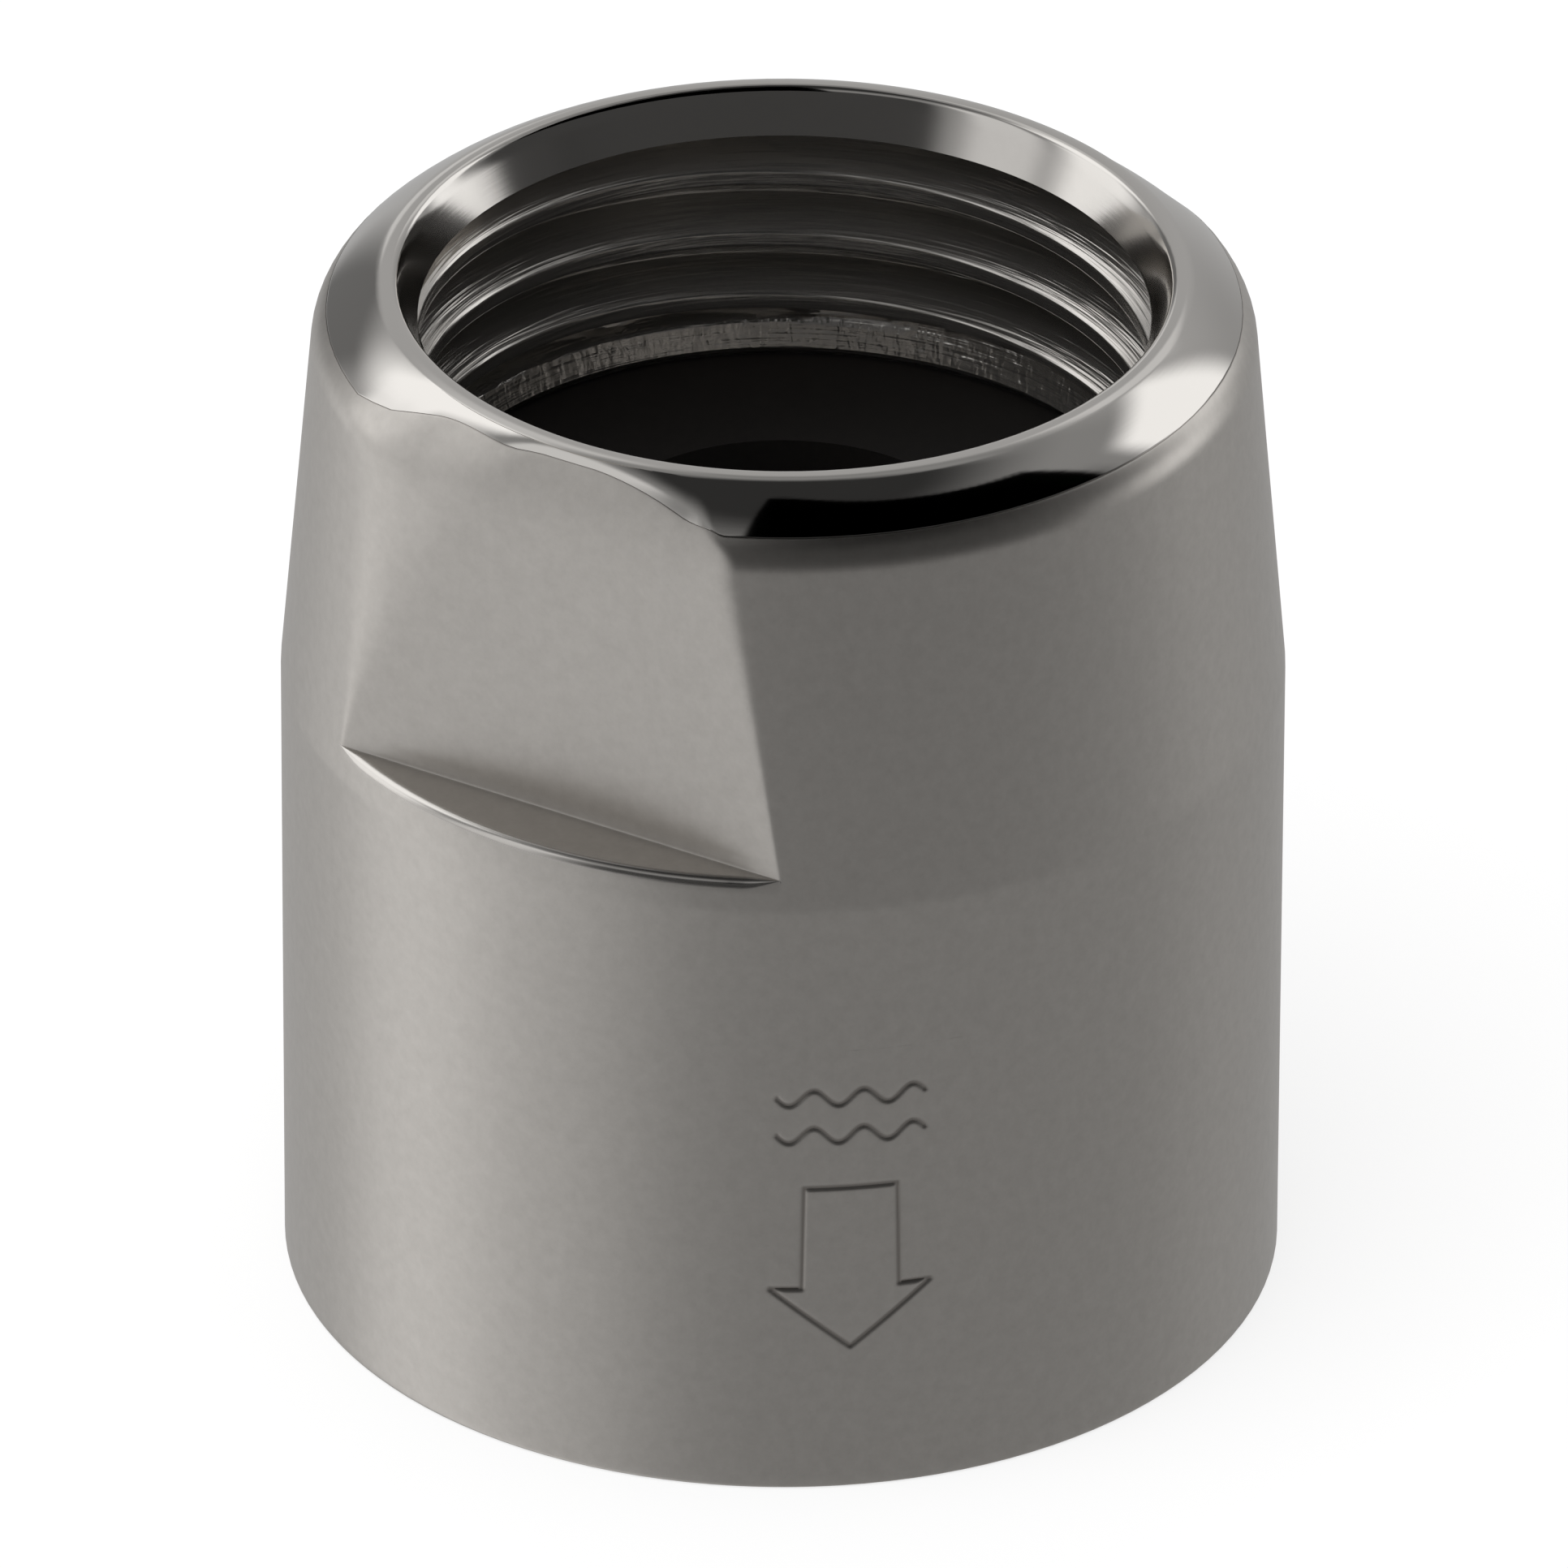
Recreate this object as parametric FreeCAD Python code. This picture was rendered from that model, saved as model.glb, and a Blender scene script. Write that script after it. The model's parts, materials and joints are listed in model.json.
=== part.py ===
import FreeCAD, Part
import math
import os

# In-line vacuum breaker for a shower hose, G 1/2 inlet on top and G 1/2 outlet below.
# Millimetres, +Z up along the bore, origin at the centre of the bottom face.
# The wrench flats face -Y and +Y.

# G 1/2 thread, left as plain bores at its minor radius
thread_minor_radius = 9.316
thread_major_radius = 10.4775

# Shell, outside
overall_height = 28.3
across_flats = 22.0
taper_start = 17.1
taper_angle = 5.0
bottom_round = 0.15
ledge_wall = 0.8
ledge_round = 0.2
same_height = 1e-6
flat_roll_drop = 2.3
flat_roll_radius = 5.0

# Shell, rim
rim_height = 1.0
rim_bulge = 0.05
shoulder_rise = 0.85
shoulder_inset = 0.39
shoulder_bulge = 0.08
lip_roll_radius = 0.8
lip_roll_start = 63.0
lip_roll_end = 136.0
lip_clearance = 0.036
funnel_depth = 1.2

# Shell, inside
shell_wall = 1.35
socket_wall = 0.9725
shelf_thickness = 1.4
inlet_hole_radius = 5.0
cavity_chamfer = 0.35

# Washers and their pockets, which are a little wider than the thread's minor radius
pocket_undercut = 0.3
pocket_headroom = 0.3
washer_clearance = 0.07
inlet_washer_thickness = 2.0
inlet_washer_hole_radius = 5.0
outlet_washer_thickness = 1.5

# Outlet socket, heights from below
socket_recess = 0.4
outlet_thread_depth = 7.6
socket_web_thickness = 1.0
gallery_wall = 0.8
gallery_height = 1.2
gallery_land = 0.5
seat_land = 0.2
vent_lip_height = 0.3
vent_lip_width = 0.3
mouth_clearance = 0.05
cup_clearance = 0.05
outlet_hole_radius = 5.6
air_groove_count = 6
air_groove_width = 3.0
air_groove_depth = 0.55
port_count = 12
port_radius = 0.7

# O-rings and their grooves
o_ring_width = 1.3
o_ring_corner = 0.4
groove_width = 1.4
groove_depth = 0.95

# Vent ring
vent_lift = 0.8
vent_stop_gap = 0.05
vent_side_clearance = 0.4
vent_ring_thickness = 0.7
vent_hub_thickness = 0.35
vent_seal_thickness = 0.5
vent_seal_overlap = 0.2
vent_guide_clearance = 0.15

# Check housing
flange_clearance = 0.05
flange_lower_land = 0.65
flange_upper_land = 0.7
seat_depth = 1.2
seat_radius = 4.8
inlet_chamfer = 0.4
cage_wall = 0.8
window_count = 6
window_width = 3.4

# Poppet
seal_gap = 0.05
poppet_travel = 1.8
poppet_flow_gap = 0.5
poppet_head_inset = 0.4
poppet_head_thickness = 1.0
poppet_neck_inset = 0.6
poppet_cap_gap = 0.6
poppet_cap_edge = 0.3
poppet_dome_rise = 0.6
poppet_seal_overlap = 0.9
poppet_seal_thickness = 0.8
poppet_seal_corner = 0.3
poppet_head_chamfer = 0.3
stem_radius = 1.05

# Spring holder
holder_clearance = 0.05
holder_ring_wall = 0.9
holder_ring_height = 1.4
holder_arm_count = 3
holder_arm_width = 1.1
holder_plate_margin = 0.575
holder_plate_height = 1.2
holder_plate_thickness = 0.8
holder_hub_wall = 0.79
stem_clearance = 0.06

# Springs
check_wire_radius = 0.175
check_hub_gap = 0.675
check_turns = 4.5
check_closed_turns = 0.75
vent_wire_radius = 0.15
vent_spring_inner_gap = 0.45
vent_spring_outer_gap = 0.35
vent_turns = 2.5
vent_closed_turns = 0.5
closed_coil_gap = 0.06
wire_sides = 8
sections_per_turn = 12

# Radii that follow from the thread outwards
mouth_radius = thread_major_radius + mouth_clearance
cavity_radius = mouth_radius + socket_wall
body_radius = cavity_radius + shell_wall
groove_radius = cavity_radius - groove_depth
flange_radius = cavity_radius - flange_clearance
vent_ring_radius = cavity_radius - vent_side_clearance
pocket_radius = thread_minor_radius + pocket_undercut
washer_radius = pocket_radius - washer_clearance

# Radii that follow from the check valve's stem and seat outwards
stem_bore_radius = stem_radius + stem_clearance
holder_hub_radius = stem_bore_radius + holder_hub_wall
check_coil_radius = holder_hub_radius + check_hub_gap + check_wire_radius
holder_plate_radius = check_coil_radius + check_wire_radius + holder_plate_margin
poppet_seal_radius = seat_radius + poppet_seal_overlap
poppet_head_radius = poppet_seal_radius - poppet_head_inset
poppet_cap_radius = seat_radius - poppet_cap_gap
poppet_neck_radius = poppet_cap_radius - poppet_neck_inset
cage_bore_radius = poppet_seal_radius + poppet_flow_gap
cage_radius = cage_bore_radius + cage_wall
cup_radius = cage_radius + cup_clearance
vent_coil_radius = cage_radius + vent_spring_inner_gap + vent_wire_radius
vent_seal_bore_radius = vent_coil_radius + vent_wire_radius + vent_spring_outer_gap
inner_lip_radius = vent_seal_bore_radius + vent_seal_overlap
gallery_radius = inner_lip_radius + vent_lip_width
port_circle_radius = gallery_radius + port_radius
outer_lip_radius = port_circle_radius + port_radius

# Rim radii
lip_radius = thread_minor_radius + lip_clearance
crown_radius = lip_radius - lip_roll_radius * math.cos(math.radians(lip_roll_end))

# Heights that follow, from below
socket_thread_end = socket_recess + outlet_thread_depth
outlet_pocket_bottom = socket_thread_end - outlet_washer_thickness - pocket_headroom
web_top = socket_thread_end + socket_web_thickness
gallery_bottom = socket_thread_end + gallery_wall
gallery_top = gallery_bottom + gallery_height
socket_groove_bottom = gallery_top + gallery_land
socket_top = socket_groove_bottom + groove_width + seat_land
vent_seat_height = socket_top + vent_lip_height
vent_bottom = vent_seat_height + vent_lift
vent_face = vent_bottom + vent_seal_thickness
vent_top = vent_face + vent_ring_thickness
flange_bottom = vent_top + vent_stop_gap
housing_groove_bottom = flange_bottom + flange_lower_land
shelf_bottom = housing_groove_bottom + groove_width + flange_upper_land
inlet_seat_height = shelf_bottom + shelf_thickness
inlet_pocket_top = inlet_seat_height + inlet_washer_thickness + pocket_headroom
ledge_height = shelf_bottom + ledge_wall

# Check valve heights, from its seat down
seat_height = shelf_bottom - seat_depth
seal_top = seat_height - seal_gap
seal_bottom = seal_top - poppet_seal_thickness
head_bottom = seal_bottom - poppet_head_thickness
holder_plate_top = web_top + holder_plate_height
holder_hub_top = head_bottom - poppet_travel

# Rim heights, from the top down
crease_height = overall_height - rim_height
shoulder_height = crease_height - shoulder_rise
shoulder_radius = body_radius - (shoulder_height - taper_start) * math.tan(math.radians(taper_angle))
crease_radius = shoulder_radius - shoulder_inset


# Geometry helpers
def arc_by_bulge(start, end, bulge):
    # Middle point of an arc from start to end that stands out to the right by bulge.
    dr = end[0] - start[0]
    dz = end[1] - start[1]
    length = math.hypot(dr, dz)
    middle_radius = (start[0] + end[0]) / 2 + bulge * dz / length
    middle_height = (start[1] + end[1]) / 2 - bulge * dr / length
    return (middle_radius, middle_height)


def turned(start, *steps):
    # Solid of revolution about Z. A step is a point (radius, height), or a pair of
    # points, the middle and the end of an arc.
    edges = []
    here = FreeCAD.Vector(start[0], 0, start[1])
    for step in steps:
        if isinstance(step[0], tuple):
            middle = FreeCAD.Vector(step[0][0], 0, step[0][1])
            there = FreeCAD.Vector(step[1][0], 0, step[1][1])
            edges.append(Part.Arc(here, middle, there).toShape())
        else:
            there = FreeCAD.Vector(step[0], 0, step[1])
            edges.append(Part.makeLine(here, there))
        here = there
    edges.append(Part.makeLine(here, FreeCAD.Vector(start[0], 0, start[1])))
    face = Part.Face(Part.Wire(edges))
    return face.revolve(FreeCAD.Vector(0, 0, 0), FreeCAD.Vector(0, 0, 1), 360)


def ring(inner, outer, bottom, top):
    # Plain ring with a rectangular section.
    return turned((inner, bottom), (outer, bottom), (outer, top), (inner, top))


def soft_ring(inner, outer, bottom, top, corner):
    # Ring with rounded corners, as a squeezed O-ring or a moulded seal has.
    blank = ring(inner, outer, bottom, top)
    rims = [edge for edge in blank.Edges if isinstance(edge.Curve, Part.Circle)]
    return blank.makeFillet(corner, rims)


def around(shape, count):
    # Copies of a shape at equal steps about Z.
    copies = []
    for index in range(count):
        copy = shape.copy()
        copy.rotate(FreeCAD.Vector(0, 0, 0), FreeCAD.Vector(0, 0, 1), 360.0 / count * index)
        copies.append(copy)
    return copies


def bar(inner, outer, width, bottom, top):
    # Straight bar along +X from one radius to another, centred on the X axis.
    corner = FreeCAD.Vector(inner, -width / 2, bottom)
    return Part.makeBox(outer - inner, width, top - bottom, corner)


def wire_section(coil_radius, wire_radius, height):
    # Many-sided section of the wire in the XZ plane, with a flat side below and above.
    corner_radius = wire_radius / math.cos(math.pi / wire_sides)
    corners = []
    for index in range(wire_sides + 1):
        angle = 2 * math.pi * (index + 0.5) / wire_sides
        corner_x = coil_radius + corner_radius * math.cos(angle)
        corner_z = height + corner_radius * math.sin(angle)
        corners.append(FreeCAD.Vector(corner_x, 0, corner_z))
    return Part.makePolygon(corners)


def coil_spring(coil_radius, wire_radius, bottom, top, turns, closed_turns):
    # Compression spring, lofted through sections of its wire, with its end coils closed.
    closed_pitch = 2 * wire_radius + closed_coil_gap
    rise = top - bottom - 2 * wire_radius
    open_pitch = (rise - 2 * closed_turns * closed_pitch) / (turns - 2 * closed_turns)
    steps = round(turns * sections_per_turn)
    sections = []
    for index in range(steps + 1):
        turn = turns * index / steps
        closed = min(turn, closed_turns) + max(turn - turns + closed_turns, 0)
        height = bottom + wire_radius + closed * closed_pitch + (turn - closed) * open_pitch
        section = wire_section(coil_radius, wire_radius, height)
        section.rotate(FreeCAD.Vector(0, 0, 0), FreeCAD.Vector(0, 0, 1), 360 * turn)
        sections.append(Part.Wire(section))
    return Part.makeLoft(sections, True, True)


# Shell
def flat_cutter():
    # Tool that leaves one wrench flat: upright, then rolled inwards near the rim.
    left = -2 * body_radius
    face_y = -across_flats / 2
    far_y = -2 * body_radius
    roll_start = overall_height - flat_roll_drop
    centre_y = face_y + flat_roll_radius
    top = roll_start + flat_roll_radius + overall_height
    diagonal = flat_roll_radius * math.sqrt(0.5)
    low_inner = FreeCAD.Vector(left, face_y, ledge_height)
    roll_begin = FreeCAD.Vector(left, face_y, roll_start)
    roll_middle = FreeCAD.Vector(left, centre_y - diagonal, roll_start + diagonal)
    roll_end = FreeCAD.Vector(left, centre_y, roll_start + flat_roll_radius)
    top_inner = FreeCAD.Vector(left, centre_y, top)
    top_outer = FreeCAD.Vector(left, far_y, top)
    low_outer = FreeCAD.Vector(left, far_y, ledge_height)
    outline = Part.Wire([
        Part.makeLine(low_inner, roll_begin),
        Part.Arc(roll_begin, roll_middle, roll_end).toShape(),
        Part.makeLine(roll_end, top_inner),
        Part.makeLine(top_inner, top_outer),
        Part.makeLine(top_outer, low_outer),
        Part.makeLine(low_outer, low_inner),
    ])
    return Part.Face(outline).extrude(FreeCAD.Vector(-2 * left, 0, 0))


def on_lip_roll(angle):
    # Point of the rolled lip whose surface faces this many degrees above straight out.
    turn = math.radians(angle)
    radius = crown_radius + lip_roll_radius * math.cos(turn)
    height = overall_height - lip_roll_radius + lip_roll_radius * math.sin(turn)
    return (radius, height)


def make_body():
    crease = (crease_radius, crease_height)
    shoulder = (shoulder_radius, shoulder_height)
    roll_start = on_lip_roll(lip_roll_start)
    roll_middle = on_lip_roll((lip_roll_start + lip_roll_end) / 2)
    roll_end = on_lip_roll(lip_roll_end)
    foot = (body_radius - bottom_round, 0)
    side = (body_radius, bottom_round)
    shell = turned(
        (cavity_radius + cavity_chamfer, 0),
        foot,
        (arc_by_bulge(foot, side, bottom_round * (1 - math.sqrt(0.5))), side),
        (body_radius, taper_start),
        shoulder,
        (arc_by_bulge(shoulder, crease, shoulder_bulge), crease),
        (arc_by_bulge(crease, roll_start, rim_bulge), roll_start),
        (roll_middle, roll_end),
        (thread_minor_radius, overall_height - funnel_depth),
        (thread_minor_radius, inlet_pocket_top),
        (pocket_radius, inlet_pocket_top),
        (pocket_radius, inlet_seat_height),
        (inlet_hole_radius, inlet_seat_height),
        (inlet_hole_radius, shelf_bottom),
        (cavity_radius, shelf_bottom),
        (cavity_radius, cavity_chamfer),
    )
    shell = shell.cut(around(flat_cutter(), 2))
    on_ledge = [edge for edge in shell.Edges
                if isinstance(edge.Curve, Part.Circle)
                and abs(edge.BoundBox.ZMin - ledge_height) < same_height
                and abs(edge.BoundBox.ZMax - ledge_height) < same_height]
    return shell.makeFillet(ledge_round, on_ledge)


# Outlet socket
def make_outlet_socket():
    blank = turned(
        (mouth_radius, socket_recess),
        (cavity_radius, socket_recess),
        (cavity_radius, gallery_bottom),
        (gallery_radius, gallery_bottom),
        (gallery_radius, gallery_top),
        (cavity_radius, gallery_top),
        (cavity_radius, socket_groove_bottom),
        (groove_radius, socket_groove_bottom),
        (groove_radius, socket_groove_bottom + groove_width),
        (cavity_radius, socket_groove_bottom + groove_width),
        (cavity_radius, socket_top),
        (cup_radius, socket_top),
        (cup_radius, web_top),
        (outlet_hole_radius, web_top),
        (outlet_hole_radius, socket_thread_end),
        (pocket_radius, socket_thread_end),
        (pocket_radius, outlet_pocket_bottom),
        (thread_minor_radius, outlet_pocket_bottom),
        (thread_minor_radius, socket_recess + mouth_radius - thread_minor_radius),
    )
    lips = [ring(start, start + vent_lip_width, socket_top, vent_seat_height)
            for start in (inner_lip_radius, outer_lip_radius)]
    gallery_middle = (gallery_bottom + gallery_top) / 2
    port_foot = FreeCAD.Vector(port_circle_radius, 0, gallery_middle)
    port = Part.makeCylinder(port_radius, vent_seat_height - gallery_middle, port_foot)
    groove = bar(
        cavity_radius - air_groove_depth, body_radius, air_groove_width, 0, gallery_middle)
    blank = blank.fuse(lips).removeSplitter()
    return blank.cut(around(port, port_count) + around(groove, air_groove_count))


# Check housing
def make_check_housing():
    hat = turned(
        (cage_bore_radius, web_top),
        (cage_radius, web_top),
        (cage_radius, flange_bottom),
        (flange_radius, flange_bottom),
        (flange_radius, housing_groove_bottom),
        (groove_radius, housing_groove_bottom),
        (groove_radius, housing_groove_bottom + groove_width),
        (flange_radius, housing_groove_bottom + groove_width),
        (flange_radius, shelf_bottom),
        (seat_radius + inlet_chamfer, shelf_bottom),
        (seat_radius, shelf_bottom - inlet_chamfer),
        (seat_radius, seat_height),
        (cage_bore_radius, seat_height),
    )
    window = bar(
        cage_bore_radius - cage_wall, cage_radius + cage_wall,
        window_width, vent_seat_height, flange_bottom)
    return hat.cut(around(window, window_count))


# Poppet
def make_poppet():
    # The top of the cap is part of a sphere centred on the axis.
    edge_height = seal_top + poppet_cap_edge
    dome_radius = (poppet_cap_radius ** 2 + poppet_dome_rise ** 2) / (2 * poppet_dome_rise)
    dome_centre = edge_height + poppet_dome_rise - dome_radius
    half_angle = math.asin(poppet_cap_radius / dome_radius) / 2
    dome_middle = (dome_radius * math.sin(half_angle), dome_centre + dome_radius * math.cos(half_angle))
    return turned(
        (0, web_top),
        (stem_radius, web_top),
        (stem_radius, head_bottom),
        (poppet_head_radius - poppet_head_chamfer, head_bottom),
        (poppet_head_radius, head_bottom + poppet_head_chamfer),
        (poppet_head_radius, seal_bottom),
        (poppet_neck_radius, seal_bottom),
        (poppet_neck_radius, seal_top),
        (poppet_cap_radius, seal_top),
        (poppet_cap_radius, edge_height),
        (dome_middle, (0, edge_height + poppet_dome_rise)),
    )


# Spring holder
def make_spring_holder():
    outer = cage_bore_radius - holder_clearance
    rim = ring(outer - holder_ring_wall, outer, web_top, web_top + holder_ring_height)
    hub = ring(stem_bore_radius, holder_hub_radius, web_top, holder_hub_top)
    plate = ring(
        stem_bore_radius, holder_plate_radius,
        holder_plate_top - holder_plate_thickness, holder_plate_top)
    arm = bar(
        (stem_bore_radius + holder_hub_radius) / 2, outer - holder_ring_wall / 2,
        holder_arm_width, web_top, holder_plate_top)
    return rim.fuse([hub, plate] + around(arm, holder_arm_count)).removeSplitter()


# Vent ring
def make_vent_ring():
    guide = cage_radius + vent_guide_clearance
    return turned(
        (guide, vent_top - vent_hub_thickness),
        (vent_seal_bore_radius, vent_top - vent_hub_thickness),
        (vent_seal_bore_radius, vent_face),
        (vent_ring_radius, vent_face),
        (vent_ring_radius, vent_top),
        (guide, vent_top),
    )


# Every piece by its name
pieces = {
    "body": make_body(),
    "inlet_washer": ring(
        inlet_washer_hole_radius, washer_radius,
        inlet_seat_height, inlet_seat_height + inlet_washer_thickness),
    "check_housing": make_check_housing(),
    "housing_o_ring": soft_ring(
        groove_radius, cavity_radius,
        housing_groove_bottom, housing_groove_bottom + o_ring_width, o_ring_corner),
    "poppet": make_poppet(),
    "poppet_seal": soft_ring(
        poppet_neck_radius, poppet_seal_radius, seal_bottom, seal_top, poppet_seal_corner),
    "check_spring": coil_spring(
        check_coil_radius, check_wire_radius,
        holder_plate_top, head_bottom, check_turns, check_closed_turns),
    "spring_holder": make_spring_holder(),
    "vent_ring": make_vent_ring(),
    "vent_seal": ring(vent_seal_bore_radius, vent_ring_radius, vent_bottom, vent_face),
    "vent_spring": coil_spring(
        vent_coil_radius, vent_wire_radius,
        socket_top, vent_top - vent_hub_thickness, vent_turns, vent_closed_turns),
    "outlet_socket": make_outlet_socket(),
    "socket_o_ring": soft_ring(
        groove_radius, cavity_radius,
        socket_groove_bottom, socket_groove_bottom + o_ring_width, o_ring_corner),
    "outlet_washer": ring(
        outlet_hole_radius, washer_radius,
        socket_thread_end - outlet_washer_thickness, socket_thread_end),
}

os.makedirs("parts", exist_ok=True)
for name, shape in pieces.items():
    shape.exportStep("parts/" + name + ".step")
    print(name, "solids", len(shape.Solids), "valid", shape.isValid(), "volume", round(shape.Volume, 2))
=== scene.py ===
import json
import math

import bmesh
import bpy
import numpy as np
from mathutils import Matrix, Vector


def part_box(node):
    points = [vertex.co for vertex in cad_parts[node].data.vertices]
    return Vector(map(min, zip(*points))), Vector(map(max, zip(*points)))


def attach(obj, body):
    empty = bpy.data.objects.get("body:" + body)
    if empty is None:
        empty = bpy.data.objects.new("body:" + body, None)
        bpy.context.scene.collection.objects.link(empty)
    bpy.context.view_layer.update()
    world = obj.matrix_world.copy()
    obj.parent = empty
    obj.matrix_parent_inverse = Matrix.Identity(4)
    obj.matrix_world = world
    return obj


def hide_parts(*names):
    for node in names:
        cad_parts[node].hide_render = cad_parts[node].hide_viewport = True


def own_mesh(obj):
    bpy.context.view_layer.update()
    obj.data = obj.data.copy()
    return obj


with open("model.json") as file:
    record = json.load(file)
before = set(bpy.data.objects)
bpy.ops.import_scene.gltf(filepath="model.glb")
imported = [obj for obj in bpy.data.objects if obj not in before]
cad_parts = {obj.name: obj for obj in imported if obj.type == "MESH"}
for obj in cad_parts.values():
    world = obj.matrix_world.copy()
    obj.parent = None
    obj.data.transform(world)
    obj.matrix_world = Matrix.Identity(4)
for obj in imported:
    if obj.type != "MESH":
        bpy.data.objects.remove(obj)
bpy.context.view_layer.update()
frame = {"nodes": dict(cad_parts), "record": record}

# In-line vacuum breaker for a shower hose. Shapes below are worked out in millimetres
# and become metres when a mesh is made.
mm = 0.001
mergeDistance = 0.0002  # points of a mesh closer than this are one, millimetres
hair = 1e-6  # keeps divisions and comparisons safe from rounding


# Helpers
def linearColour(hexText):
    # sRGB hex to the linear values that shaders take
    parts = [int(hexText[i:i + 2], 16) / 255 for i in (1, 3, 5)]
    return [c / 12.92 if c <= 0.04045 else ((c + 0.055) / 1.055) ** 2.4 for c in parts] + [1.0]


def addNode(tree, kind, inputs=None, **settings):
    # An input is a value, a socket, or a node whose first output is taken
    node = tree.nodes.new(kind)
    for name, value in settings.items():
        setattr(node, name, value)
    for key, value in (inputs or {}).items():
        if isinstance(value, bpy.types.Node):
            value = value.outputs[0]
        if isinstance(value, bpy.types.NodeSocket):
            tree.links.new(value, node.inputs[key])
        else:
            node.inputs[key].default_value = value
    return node


def addObject(name, data):
    added = bpy.data.objects.new(name, data)
    bpy.context.scene.collection.objects.link(added)
    return added


def meshPiece(name, points, faces):
    # A mesh from points in millimetres
    mesh = bpy.data.meshes.new(name)
    mesh.from_pydata((np.asarray(points) * mm).tolist(), [], faces)
    return addObject(name, mesh)


def mergeClose(shape):
    bmesh.ops.remove_doubles(shape, verts=shape.verts, dist=mergeDistance * mm)


def mergeAndClean(shape):
    mergeClose(shape)
    bmesh.ops.dissolve_degenerate(shape, dist=mergeDistance * mm, edges=shape.edges)


def healMesh(piece, sharpDegrees=40):
    shape = bmesh.new()
    shape.from_mesh(piece.data)
    mergeAndClean(shape)
    bmesh.ops.recalc_face_normals(shape, faces=shape.faces)
    shape.to_mesh(piece.data)
    shape.free()
    piece.data.shade_smooth()
    piece.data.set_sharp_from_angle(angle=math.radians(sharpDegrees))


def smoothStep(low, high, value):
    t = np.clip((value - low) / (high - low), 0, 1)
    return t * t * (3 - 2 * t)


def smoothMin(a, b, softness):
    # Lower of two surfaces with the edge between them rounded over
    near = np.maximum(softness - np.abs(a - b), 0) / softness
    return np.minimum(a, b) - near * near * softness / 4


def arcPoints(start, end, bulge, count):
    # Points (radius, height) along an arc that stands out to the right by bulge
    start, end = np.array(start, float), np.array(end, float)
    chord = end - start
    length = np.hypot(*chord)
    radius = (length ** 2 / 4 + bulge ** 2) / (2 * bulge)
    outward = np.array([chord[1], -chord[0]]) / length
    centre = (start + end) / 2 - outward * (radius - bulge)
    first = math.atan2(*(start - centre)[::-1])
    last = math.atan2(*(end - centre)[::-1])
    turn = np.linspace(first, last, count)
    return centre + radius * np.stack([np.cos(turn), np.sin(turn)], 1)


# Shell sizes, millimetres
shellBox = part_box("body")
shell = {
    "radius": shellBox[1].x / mm,
    "bottomRound": 0.15,
    "taperStart": 17.1,
    "taperSoft": 0.005,
    "taperAngle": 5.0,
    "flatDistance": 11.0,
    "ledgeHeight": 18.0,
    "ledgeRound": 0.26,
    "ledgeRoundShare": 0.6,  # most of the ledge's width that its rounded edge takes
    "leastLedge": 0.003,
    "footFillet": 0.07,  # small fillet between the ledge and the flat
    "footFilletShare": 0.3,
    "rollStart": 26.0,
    "rollBlend": 0.3,
    "rollRadius": 4.4,
    "shoulder": (12.032, 26.45),
    "shoulderBulge": 0.08,
    "crease": (11.642, 27.3),
    "faceBulge": 0.05,
    "rollCentre": (10.05, 27.5),  # of the rolled lip: radius, height
    "lipRadius": 0.8,
    "lipTurns": (63.0, 90.0),  # degrees above straight out
    "blendRadius": 0.25,
    "blendEnd": 152.0,
    "boreRadius": 9.316,
    "lipEnd": 27.15,
    "pocket": (9.616, 20.9),  # washer pocket: radius, top
    "seatHeight": 18.6,
    "holeRadius": 5.0,
    "shelfBottom": 17.2,
    "cavityRadius": 11.5,
    "cavityChamfer": 0.35,
    "leftEdgeSoft": (0.05, 0.9),  # the flat's side edges: at the ledge, near the rim
    "rightEdgeSoft": (0.03, 0.12),
    "softTurn": (-0.4, -0.05),  # radians from the flat's middle where left gives way to right
    "topEdgeSoft": 0.8,
    "rimBlend": 0.1,
    "creaseSoft": 0.001,  # softness of the crease off the flats, and what the flats add
    "faceSoft": 0.35,
    "polishOver": 0.2,
    "polishBlend": (0.03, 0.4),  # rise of the crease over which polishing past it sets in
    "creaseGroove": 0.012,
    "runOutRise": 0.33,
}
# How far each part of the shell is polished, from 0 for brushed to 1 for a mirror
shine = {"ledge": 0.75, "creaseLine": 0.5, "rim": 1.0, "lipEdge": 0.9, "lipWall": 0.75, "bore": 0.5}
thread = {
    "pitch": 1.814,
    "depth": 1.1615,
    "flank": math.radians(27.5),
    "crestHalf": 0.2,
    "cornerSoft": 0.03,
    "inletRidge": (120.8, 25.88),  # a ridge passes this angle at this height
    "inletTop": 27.14,
    "inletFade": (21.45, 21.85),
    "fadeBlend": 0.15,
    "outletRidge": (0.0, 2.3),
    "outletFade": (5.3, 5.8),
}


def lipPoint(turn, radius, centre):
    angle = math.radians(turn)
    return (centre[0] + radius * math.cos(angle), centre[1] + radius * math.sin(angle))


def extended(points, reach):
    # A profile carried on past both ends along its end slopes
    first = points[0] - (points[1] - points[0]) / (points[1] - points[0])[1] * reach
    last = points[-1] + (points[-1] - points[-2]) / (points[-1] - points[-2])[1] * reach
    return np.vstack([first, points, last])


lipStart = lipPoint(shell["lipTurns"][0], shell["lipRadius"], shell["rollCentre"])
shoulderArc = extended(arcPoints(shell["shoulder"], shell["crease"], shell["shoulderBulge"], 40), 1.5)
faceArc = arcPoints(shell["crease"], lipStart, shell["faceBulge"], 160)


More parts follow.
